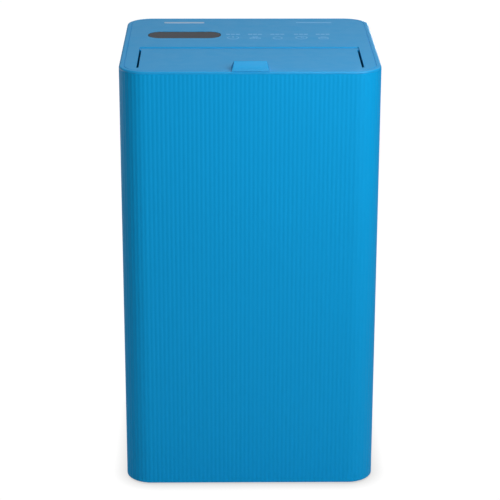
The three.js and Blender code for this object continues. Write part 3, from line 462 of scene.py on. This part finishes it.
def outline_point(distance, inset):
    """Point on the casing's outline at a distance from the middle of the front, moved inwards."""
    flat = SIDE - CORNER
    arc = CORNER * math.pi / 2
    along = abs(distance)
    hand = math.copysign(1, distance)
    if along <= flat:
        return distance, FRONT + inset
    if along <= flat + arc:
        angle = (along - flat) / CORNER
        radius = CORNER - inset
        return hand * (flat + radius * math.sin(angle)), FRONT + CORNER - radius * math.cos(angle)
    return hand * (SIDE - inset), FRONT + CORNER + along - flat - arc


RIB_PITCH = 5 * MM
RIB_DEPTH = 0.21 * MM
RIB_STEPS = 10
GROOVE_SHARPNESS = 1.2
SHELL_REACH = SIDE - CORNER + CORNER * math.pi / 2 + SPLIT - FRONT - CORNER


def ribbed_line(depth, inset):
    """The shell's outer plan line with grooves of a given depth, from one rear edge to the other."""
    ribs = int(SHELL_REACH / RIB_PITCH)
    line = [outline_point(-SHELL_REACH, inset)]
    for step in range(2 * ribs * RIB_STEPS + 1):
        distance = (step / RIB_STEPS - ribs) * RIB_PITCH
        wave = math.sin(math.pi * step / RIB_STEPS) ** 2
        line.append(outline_point(distance, inset + depth * wave ** GROOVE_SHARPNESS))
    line.append(outline_point(SHELL_REACH, inset))
    return line


def inner_line():
    """The shell's inner plan line, from the right rear edge to the left one."""
    flat = SIDE - CORNER
    half = [0] + [flat + CORNER * math.pi / 2 * step / 12 for step in range(13)] + [SHELL_REACH]
    distances = half[:0:-1] + [-distance for distance in half]
    return [outline_point(distance, WALL) for distance in distances]


GRIP_RIM = 3 * MM


def hand_hole(node, hand):
    """Opening of a side grip, through the shell's wall."""
    _, y, z = span(node)
    outline = rounded((y[0] + GRIP_RIM, y[1] - GRIP_RIM), (z[0] + GRIP_RIM, z[1] - GRIP_RIM), GRIP_RIM)
    low, high = sorted((hand * (SIDE - 6 * MM), hand * (SIDE + MM)))
    return slab(outline, low, high, "x")


def ribbed_shell():
    """Front shell with upright grooves that fade out at its foot and at the seam."""
    # Each row is a height, a share of the grooves' depth and an inset.
    rows = [
        (SHELL_LOW, 0.0, 0.7 * MM),
        (SHELL_LOW + 0.7 * MM, 0.6, 0.0),
        (SHELL_LOW + 1.4 * MM, 1.0, 0.0),
        (SEAM - 1.0 * MM, 1.0, 0.0),
        (SEAM - 0.3 * MM, 0.6, 0.0),
        (SEAM + 0.15 * MM, 0.1, 0.1 * MM),
    ]
    inner = inner_line()
    rings = [plane_ring(ribbed_line(RIB_DEPTH * share, inset) + inner, "z", z) for z, share, inset in rows]
    shell = helper(lofted(rings))
    cut(shell, hand_hole("grip_cup_left", -1), hand_hole("grip_cup_right", 1))
    piece(shell, "front_shell", "ribbed_shell", degrees=50)


# ---------------------------------------------------------------- top cover

COVER_LOW = span("top_cover")[2][0]
SKIRT = 2.4 * MM
BEAM = 3 * MM
BEAM_LOW = COVER_LOW + 6 * MM
RIM_ROUND = 2.2 * MM
CREASE = 6 * MM
BEVEL_DROP = 0.9 * MM
BEVEL_RUN = 1.6 * MM
WINDOW_ROUND = 15 * MM
BADGE_ROUND = 2 * MM


def cover_profile():
    """Inset and height of the cover's edge, from the seam up: rounded rim, then a fine crease."""
    profile = [(0.3 * MM, SEAM + GAP / 2), (0.0, SEAM + 1.5 * GAP)]
    for step in range(7):
        angle = step * math.pi / 12
        profile.append((RIM_ROUND * (1 - math.cos(angle)), TOP - RIM_ROUND * (1 - math.sin(angle))))
    for inset, drop in ((-0.6, 0), (-0.3, 0.6), (0.1, 0.6), (0.4, 0), (1, 0)):
        profile.append((CREASE + inset * MM, TOP - drop * MM))
    return profile


def top_cover():
    """Cover with a skirt inside the shell, a ledge and hinge beam round the flap, and sunk panel inlays."""
    cover = helper(lofted([plane_ring(casing(inset, 16), "z", z) for inset, z in cover_profile()]))
    outer = casing(WALL + GAP)
    inner = casing(WALL + GAP + SKIRT)
    skirt = ((outer, COVER_LOW), (outer, TOP - MM), (inner, TOP - MM), (inner, COVER_LOW))
    join(cover, lofted([plane_ring(outline, "z", z) for outline, z in skirt], closed=True))
    front = FLAP_FRONT - EASE
    back = HINGE.y + HINGE_R + EASE
    width = (-OPENING_HALF, OPENING_HALF)
    join(cover, block(width, (front - BEAM, front), (BEAM_LOW, TOP - MM)))
    join(cover, block(width, (front - BEAM, front + BEAM), (BEAM_LOW, FLAP_LOW - GAP)))
    join(cover, block((-SIDE + 8 * MM, SIDE - 8 * MM), (back, back + BEAM), (BEAM_LOW, TOP - MM)))
    for ends in mirrored(OPENING_HALF, OPENING_HALF + 4 * MM):
        join(cover, block(ends, (HINGE.y - 8 * MM, back + 2 * MM), (COVER_LOW + 4 * MM, TOP - MM)))
    rings = []
    for z, grow in ((FLAP_LOW - GAP, 0), (TOP - BEVEL_DROP, 0), (TOP + BEVEL_DROP, 2 * BEVEL_RUN)):
        rings.append(plane_ring(rounded(width, (front, back + grow), 0.8 * MM, 3), "z", z))
    cut(cover, lofted(rings))
    for node, radius, depth in (("display_window", WINDOW_ROUND, 2 * MM), ("blank_badge", BADGE_ROUND, MM)):
        x, y, _ = span(node)
        outline = rounded((x[0] - GAP, x[1] + GAP), (y[0] - GAP, y[1] + GAP), radius + GAP)
        cut(cover, slab(outline, TOP - depth, TOP + MM))
    piece(eased(cover, 0.25 * MM, degrees=50), "top_cover", degrees=35)


def display_glass():
    x, y, z = span("display_window")
    piece(helper(plate(x, y, WINDOW_ROUND, *z, EASE)), "display_window", "display_glass")


def badge_inlay():
    x, y, z = span("blank_badge")
    piece(helper(plate(x, y, BADGE_ROUND, *z, 0.25 * MM)), "blank_badge", "badge_inlay")


# ---------------------------------------------------------------- printed marks on the panel

INK = 0.12 * MM
STROKE = 1.4 * MM


def ribbon(form, points, closed=False, width=STROKE):
    """Flat printed stroke along points in the plane of the panel."""
    count = len(points)
    rings = []
    for i, point in enumerate(points):
        before = points[i - 1] if closed or i else point
        after = points[(i + 1) % count] if closed or i < count - 1 else point
        heading = (Vector(after) - Vector(before)).normalized()
        side = Vector((-heading.y, heading.x)) * width / 2
        one = Vector(point) + side
        other = Vector(point) - side
        rings.append([(one.x, one.y, TOP - INK), (one.x, one.y, TOP + INK),
                      (other.x, other.y, TOP + INK), (other.x, other.y, TOP - INK)])
    loft(form, rings, closed)


def arc(centre, radius, start, sweep, steps=24):
    """Points on a circle, angles in degrees."""
    points = []
    for step in range(steps + 1):
        angle = math.radians(start + sweep * step / steps)
        points.append((centre[0] + radius * math.cos(angle), centre[1] + radius * math.sin(angle)))
    return points


def ring(form, centre, radius):
    ribbon(form, arc(centre, radius, 0, 345, 23), closed=True)


def power_mark(form, x, y, size):
    ribbon(form, arc((x, y), size, 125, 290))
    ribbon(form, [(x, y + 0.1 * size), (x, y + 1.2 * size)])


def fan_mark(form, x, y, size):
    for turn in (90, 210, 330):
        angle = math.radians(turn)
        ring(form, (x + 0.62 * size * math.cos(angle), y + 0.62 * size * math.sin(angle)), 0.42 * size)


def drop_mark(form, x, y, size):
    round_end = arc((x, y - 0.25 * size), 0.8 * size, 150, 240)
    ribbon(form, round_end + [(x, y + 1.25 * size)], closed=True)


def timer_mark(form, x, y, size):
    ring(form, (x, y), size)
    ribbon(form, [(x, y - 0.08 * size), (x, y + 0.6 * size)])
    ribbon(form, [(x - 0.08 * size, y), (x + 0.5 * size, y)])


def lock_mark(form, x, y, size):
    low = y - 0.9 * size
    top = y + 0.15 * size
    wide = 0.8 * size
    ribbon(form, [(x - wide, low), (x + wide, low)])
    ribbon(form, [(x + wide, low), (x + wide, top)])
    ribbon(form, [(x + wide, top), (x - wide, top)])
    ribbon(form, [(x - wide, top), (x - wide, low)])
    ribbon(form, arc((x, top), 0.5 * size, 0, 180))


MARKS = [power_mark, fan_mark, drop_mark, timer_mark, lock_mark]
MARK_SIZE = 6.8 * MM
MARK_SHIFT = 9 * MM
DASH_HALF = 2.4 * MM
DASH_PITCH = 6 * MM
DASH_WIDTH = 4.2 * MM


def touch_marks():
    """A symbol in front of each touch pad's middle, and behind it a row of three level dashes."""
    for index, draw in enumerate(MARKS, 1):
        pad = middle(f"touch_pad_{index}")
        form = bmesh.new()
        draw(form, pad.x, pad.y - MARK_SHIFT, MARK_SIZE)
        for step in (-1, 0, 1):
            x = pad.x + step * DASH_PITCH
            y = pad.y + MARK_SHIFT
            ribbon(form, [(x - DASH_HALF, y), (x + DASH_HALF, y)], width=DASH_WIDTH)
        settle(helper(form), f"touch_mark_{index}", INK_PALE, "casing")


LINE_ENDS = (60 * MM, 104 * MM)
LINE_WIDTH = 3.2 * MM


def panel_line():
    """Thin printed line at the right of the panel's rear."""
    y = middle("blank_badge").y
    form = bmesh.new()
    ribbon(form, [(x, y) for x in LINE_ENDS], width=LINE_WIDTH)
    settle(helper(form), "panel_line", INK_PALE, "casing")


# ---------------------------------------------------------------- outlet flap

LIP_HALF = 20.9 * MM
LIP_TAPER = 2.3 * MM
LIP_FLARE = 0.6 * MM
LIP_FACE = 4.4 * MM
LIP_SLOPE = 11.3 * MM
LIP_TOP = span("outlet_flap")[2][1]
FLAP_RIBS = 5
FLAP_RIB_PITCH = 42 * MM
FLAP_RIB_HALF = 0.8 * MM


def flap_side_view():
    """Side outline (y, z) of the flap plate with the hinge barrel at its rear."""
    points = [(FLAP_FRONT + EASE, FLAP_TOP), (FLAP_FRONT + 0.15 * EASE, FLAP_TOP - 0.15 * EASE),
              (FLAP_FRONT, FLAP_TOP - EASE), (FLAP_FRONT, FLAP_LOW)]
    return points + arc((HINGE.y, HINGE.z), HINGE_R, 180, 270, 18)


def pull_lip():
    """Pull that stands on the flap's front edge and reaches over the rim, with leaning, flared ends."""
    face = FRONT + EASE
    foot = TOP + 0.12 * MM
    turn = TOP + LIP_FACE
    rise = LIP_TOP - turn
    section = [(face + 0.15 * MM, foot)]
    for back, height in ((0, 0.15), (0.5, 1.2), (1.1, 2.4), (1.9, 3.9), (2.3, 4.3), (3.0, 4.75)):
        section.append((face + back * MM, foot + height * MM))
    for share, height in ((0.5, 0.5), (0.8, 0.83), (0.93, 0.96), (1.05, 1.0), (1.2, 0.97), (1.4, 0.75)):
        section.append((face + share * LIP_SLOPE, turn + height * rise))
    section += [(FLAP_FRONT + 9 * MM, FLAP_TOP + 0.3 * MM), (FLAP_FRONT + 11 * MM, FLAP_TOP - MM),
                (FLAP_FRONT, FLAP_TOP - MM), (FLAP_FRONT, foot)]
    rings = []
    for share, round_off in ((-1, 0.5), (-0.99, 0.15), (-0.96, 0), (0.96, 0), (0.99, 0.15), (1, 0.5)):
        outline = []
        for y, z in section:
            height = max(0.0, z - foot)
            lean = LIP_TAPER * height / (LIP_TOP - foot)
            lean -= LIP_FLARE * max(0.0, 1 - height / LIP_FACE) ** 2
            drop = round_off * MM if z > turn else 0.0
            outline.append((share * (LIP_HALF - lean), y, z - drop))
        rings.append(outline)
    return lofted(rings)


def outlet_flap():
    """Flap plate with side skirts, knuckles at the hinge, stiffening ribs below and the pull lip."""
    flap = helper(slab(flap_side_view(), -FLAP_HALF, FLAP_HALF, "x"))
    for ends in mirrored(FLAP_HALF - 2 * MM, FLAP_HALF):
        join(flap, block(ends, (FLAP_FRONT + 8 * MM, HINGE.y), (FLAP_TOP - 7 * MM, FLAP_TOP - MM)))
    for ends in mirrored(FLAP_HALF - MM, KNUCKLE_HALF):
        join(flap, block(ends, (HINGE.y - 7 * MM, HINGE.y), (FLAP_LOW, FLAP_TOP)))
    for index in range(FLAP_RIBS):
        x = (index - FLAP_RIBS // 2) * FLAP_RIB_PITCH
        join(flap, block((x - FLAP_RIB_HALF, x + FLAP_RIB_HALF), (FLAP_FRONT + 10 * MM, HINGE.y - 6 * MM),
                         (FLAP_LOW - 2.5 * MM, FLAP_LOW + MM)))
    join(flap, pull_lip())
    piece(eased(flap, 0.3 * MM, degrees=50), "outlet_flap", degrees=35)


# ---------------------------------------------------------------- rear: grille, filter, tank, fittings

NET_INSET = 4 * MM
NET_PITCH = 2.4 * MM
THREAD = 0.22 * MM


def net_places(low, high):
    """Even places from one limit to the other, close to the net's pitch apart."""
    count = int((high - low) / NET_PITCH)
    return [low + index * (high - low) / count for index in range(count + 1)]


def net_thread(form, first, second, axis, limits):
    """One thread of the net, at two coordinates across an axis."""
    outline = rounded((first - THREAD, first + THREAD), (second - THREAD, second + THREAD), 0.8 * THREAD, 2)
    loft(form, [plane_ring(outline, axis, end) for end in limits])


def woven_filter():
    """Filter frame from the CAD with a fine net of crossed threads stretched across it."""
    softened("filter_mesh", 0.3 * MM)
    x, y, z = span("filter_mesh")
    middle_y = sum(y) / 2
    across = (x[0] + NET_INSET, x[1] - NET_INSET)
    upright = (z[0] + NET_INSET, z[1] - NET_INSET)
    form = bmesh.new()
    for place in net_places(*across):
        net_thread(form, place, middle_y, "z", upright)
    for place in net_places(*upright):
        net_thread(form, middle_y, place, "x", across)
    settle(helper(form), "filter_net", BLACK, body_of("filter_mesh"))


COIL_HALF = 98 * MM
FIN_GAPS = 108
FIN_HALF = 0.1 * MM
TUBE_R = 4 * MM
TUBE_MARGIN = 20 * MM
PLATE_OUT = 1.5 * MM
BEND_REACH = 10.5 * MM


def fin_stack(y, z):
    """Thin upright fins side by side between the end plates."""
    form = bmesh.new()
    low_y, high_y = y[0] + MM, y[1] - MM
    low_z, high_z = z[0] + MM, z[1] - MM
    outline = [(low_y, low_z), (high_y, low_z), (high_y, high_z), (low_y, high_z)]
    for index in range(FIN_GAPS + 1):
        place = (2 * index / FIN_GAPS - 1) * (COIL_HALF - 0.6 * MM)
        loft(form, [plane_ring(outline, "x", place + side * FIN_HALF) for side in (-1, 1)])
    return form


def return_bend(form, hand, y, z, radius):
    """Half turn of tube outside an end plate, a little flatter than a circle."""
    rings = []
    for step in range(13):
        angle = math.pi * (step / 12 - 0.5)
        out = Vector((BEND_REACH * math.cos(angle), radius * math.sin(angle)))
        heading = Vector((-BEND_REACH * math.sin(angle), radius * math.cos(angle))).normalized()
        across = Vector((heading.y, -heading.x))
        circle = []
        for turn in range(16):
            around = 2 * math.pi * turn / 16
            place = out + across * TUBE_R * math.cos(around)
            x = hand * (COIL_HALF + PLATE_OUT + place.x)
            circle.append((x, y + TUBE_R * math.sin(around), z + place.y))
        rings.append(circle)
    loft(form, rings)


def tube_run(y, z, bend_count):
    """Straight tubes through the fins, joined by bends at alternate ends."""
    form = bmesh.new()
    first = z[0] + TUBE_MARGIN
    pitch = (z[1] - TUBE_MARGIN - first) / bend_count
    reach = COIL_HALF + 1.6 * MM
    for row in range(bend_count + 1):
        outline = arc((y, first + row * pitch), TUBE_R, 0, 345, 23)
        loft(form, [plane_ring(outline, "x", end) for end in (-reach, reach)])
    for row in range(bend_count):
        return_bend(form, -1 if row % 2 else 1, y, first + (row + 0.5) * pitch, pitch / 2)
    return form


def end_plates(y, z):
    form = bmesh.new()
    for ends in mirrored(COIL_HALF - 0.4 * MM, COIL_HALF + PLATE_OUT):
        loft(form, [plane_ring(rounded(y, z, 1.5 * MM, 3), "x", end) for end in ends])
    return form


def coil(node, bend_count):
    """Heat exchanger in three pieces, which all stand for one CAD node."""
    _, y, z = span(node)
    body = body_of(node)
    settle(helper(fin_stack(y, z)), f"{node}_fins", FINS, body, (node,))
    tubes = tube_run(sum(y) / 2, z, bend_count)
    settle(helper(tubes), f"{node}_tubes", COPPER, body, (node,), degrees=60)
    settle(helper(end_plates(y, z)), f"{node}_end_plates", ZINC, body, (node,))


DOOR_THICK = 3.7 * MM
POCKET_X = (-46 * MM, 46 * MM)
POCKET_Z = (146 * MM, 178 * MM)
POCKET_DEPTH = 18 * MM


def water_tank():
    """The tank node in two materials: translucent bucket, and blue door with its finger pocket."""
    x, y, z = span("water_tank")
    door_zone = ((x[0] - MM, x[1] + MM), (y[1] - DOOR_THICK, y[1] + MM), (z[0] - MM, z[1] + MM))
    pocket_zone = (POCKET_X, (y[1] - POCKET_DEPTH, y[1] + MM), POCKET_Z)
    bucket = cut(copied("water_tank"), block(*door_zone), block(*pocket_zone))
    piece(eased(bucket, 0.8 * MM, 3), "water_tank", "tank_bucket")
    door = copied("water_tank")
    combine(door, block(*door_zone), "INTERSECT")
    pocket = copied("water_tank")
    combine(pocket, block(*pocket_zone), "INTERSECT")
    walls = bmesh.new()
    walls.from_mesh(pocket.data)
    bpy.data.objects.remove(pocket)
    join(door, walls)
    piece(eased(door, 0.6 * MM, 3), "water_tank", "tank_door", slot="ribbed_blue")


ribbed_shell()
top_cover()
display_glass()
badge_inlay()
touch_marks()
panel_line()
outlet_flap()
woven_filter()
coil("evaporator", 8)
coil("condenser", 7)
water_tank()
BUILT = {"front_shell", "top_cover", "display_window", "blank_badge", "outlet_flap", "filter_mesh",
         "evaporator", "condenser", "water_tank"}
PIPES = {"discharge_pipe", "suction_pipe", "liquid_pipe", "capillary_tube"}
for node in nodes:
    if node in PIPES:
        subdivided(node)
    elif node not in BUILT:
        softened(node)


# ---------------------------------------------------------------- camera, lights, floor

CAMERA_PITCH = math.radians(19.74)
CAMERA_YAW = math.radians(-0.79)
CAMERA_ROLL = math.radians(0.14)
CAMERA_DISTANCE = 2.339
CAMERA_TARGET = Vector((0.0017, 0, 0.2541))
CAMERA_LENS = 135.75


def photographic_view():
    """Camera at a distance from its target, with the pitch, yaw and roll above."""
    camera = bpy.data.objects.new("camera", bpy.data.cameras.new("camera"))
    camera.data.lens = CAMERA_LENS
    camera.data.sensor_width = 36
    back = Vector((0, -math.cos(CAMERA_PITCH), math.sin(CAMERA_PITCH))) * CAMERA_DISTANCE
    turn = Matrix.Rotation(CAMERA_YAW, 4, "Z")
    camera.matrix_world = (
        turn @ Matrix.Translation(CAMERA_TARGET + back)
        @ Matrix.Rotation(math.pi / 2 - CAMERA_PITCH, 4, "X") @ Matrix.Rotation(CAMERA_ROLL, 4, "Z"))
    bpy.context.scene.collection.objects.link(camera)
    bpy.context.scene.camera = camera
    bpy.context.scene.view_settings.view_transform = "Standard"


# Each lamp's place, the height on the object's axis that it points at, its size and its power.
LAMPS = {
    "key": ((0.52, -0.85, 1.0), 0.35, 0.66, 8.2),
    "overhead": ((0.35, 0.2, 1.95), 0.5, 1.0, 5.4),
    "fill": ((-1.9, -2.2, 1.2), 0.3, 1.6, 3.2),
    "rear": ((0.3, 3.4, 1.6), 0.5, 2.4, 5),
    "rear_high": ((1.0, 1.7, 2.0), 0.4, 1.0, 3),
    "rear_low": ((0.5, 2.7, 0.25), 0.25, 0.46, 24),
    "side_left": ((-2.1, 1.5, 0.25), 0.25, 0.46, 9),
}


def area_light(name, place, target_height, size, power):
    """Square soft lamp."""
    light = bpy.data.objects.new(name, bpy.data.lights.new(name, "AREA"))
    light.data.shape = "SQUARE"
    light.data.size = size
    light.data.energy = power
    light.location = place
    heading = Vector((0, 0, target_height)) - Vector(place)
    light.rotation_euler = heading.to_track_quat("-Z", "Y").to_euler()
    bpy.context.scene.collection.objects.link(light)


def camera_only(tree, seen, unseen, output):
    """Shows one shader to the camera and gives another to the light bouncing round the scene."""
    mix = tree.nodes.new("ShaderNodeMixShader")
    tree.links.new(tree.nodes.new("ShaderNodeLightPath").outputs["Is Camera Ray"], mix.inputs[0])
    tree.links.new(unseen, mix.inputs[1])
    tree.links.new(seen, mix.inputs[2])
    tree.links.new(mix.outputs[0], output)


FLOOR_DROP = 0.1 * MM
FLOOR_RADIUS = 30
CONTACT_REACH = 24 * MM
CONTACT_SHADE = {"From Min": 0.35, "From Max": 0.95, "To Min": 0.68, "To Max": 1.02}


def floor_stage():
    """Pale floor: evenly white to the camera but for a soft contact shadow, and matt for bounced light."""
    material = bpy.data.materials.new("pale_floor")
    material.use_nodes = True
    tree = material.node_tree
    tree.nodes.clear()
    diffuse = tree.nodes.new("ShaderNodeBsdfDiffuse")
    diffuse.inputs["Color"].default_value = (0.6, 0.6, 0.6, 1)
    contact = tree.nodes.new("ShaderNodeAmbientOcclusion")
    contact.samples = 16
    contact.inputs["Distance"].default_value = CONTACT_REACH
    shadow = tree.nodes.new("ShaderNodeMapRange")
    for socket, value in CONTACT_SHADE.items():
        shadow.inputs[socket].default_value = value
    glow = tree.nodes.new("ShaderNodeEmission")
    tree.links.new(contact.outputs["AO"], shadow.inputs["Value"])
    tree.links.new(shadow.outputs["Result"], glow.inputs["Strength"])
    output = tree.nodes.new("ShaderNodeOutputMaterial")
    camera_only(tree, glow.outputs[0], diffuse.outputs[0], output.inputs[0])
    form = bmesh.new()
    bmesh.ops.create_circle(form, cap_ends=True, radius=FLOOR_RADIUS, segments=64)
    mesh = bpy.data.meshes.new("floor")
    form.to_mesh(mesh)
    form.free()
    mesh.materials.append(material)
    floor = bpy.data.objects.new("floor", mesh)
    floor.location.z = -FLOOR_DROP
    bpy.context.scene.collection.objects.link(floor)


def surround():
    """White background to look at, and a dimmer, even surround to light the object."""
    world = bpy.data.worlds.new("surround")
    bpy.context.scene.world = world
    world.use_nodes = True
    tree = world.node_tree
    dim = tree.nodes["Background"]
    dim.inputs["Color"].default_value = (1, 1, 1, 1)
    dim.inputs["Strength"].default_value = 0.18
    bright = tree.nodes.new("ShaderNodeBackground")
    bright.inputs["Color"].default_value = (1, 1, 1, 1)
    camera_only(tree, bright.outputs[0], dim.outputs[0], tree.nodes["World Output"].inputs["Surface"])


photographic_view()
for lamp, settings in LAMPS.items():
    area_light(lamp, *settings)
floor_stage()
surround()
